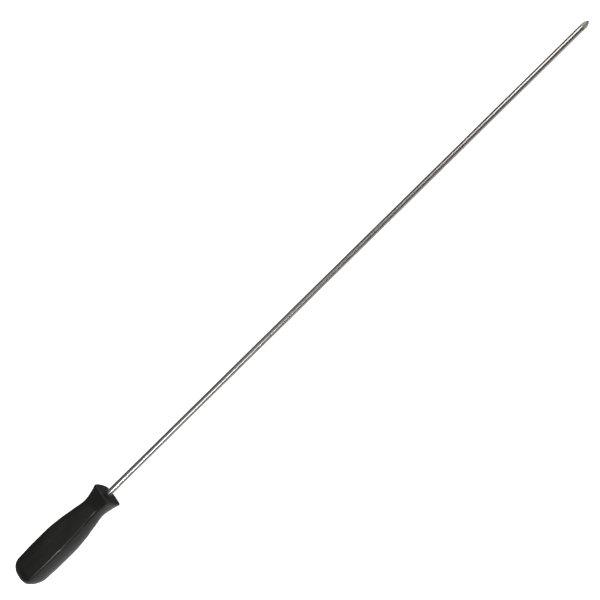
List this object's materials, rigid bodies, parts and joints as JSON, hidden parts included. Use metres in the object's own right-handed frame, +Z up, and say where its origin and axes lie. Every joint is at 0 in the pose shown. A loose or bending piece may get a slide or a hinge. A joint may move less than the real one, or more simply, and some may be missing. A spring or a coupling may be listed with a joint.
{
  "type": "extra-long cross-head screwdriver",
  "caption": "Hand screwdriver with a four-sided black handle and a very long round steel blade that ends in a fluted cross point.",
  "frame": {"origin": "centre of the blade's end flat, at the tip of the cross point", "axes": "+X along the tool's axis, out of the tip; +Z up and +Y sideways, each square to a side of the handle"},
  "size_m": [0.7169, 0.028, 0.028],
  "materials": {
    "black_moulding": "smooth moulded black plastic with a satin gloss",
    "polished_chrome": "bright plated shank; the cross point is bare ground steel"
  },
  "bodies": {
    "root": {"handle": "black_moulding", "blade": "polished_chrome"}
  },
  "joints": []
}
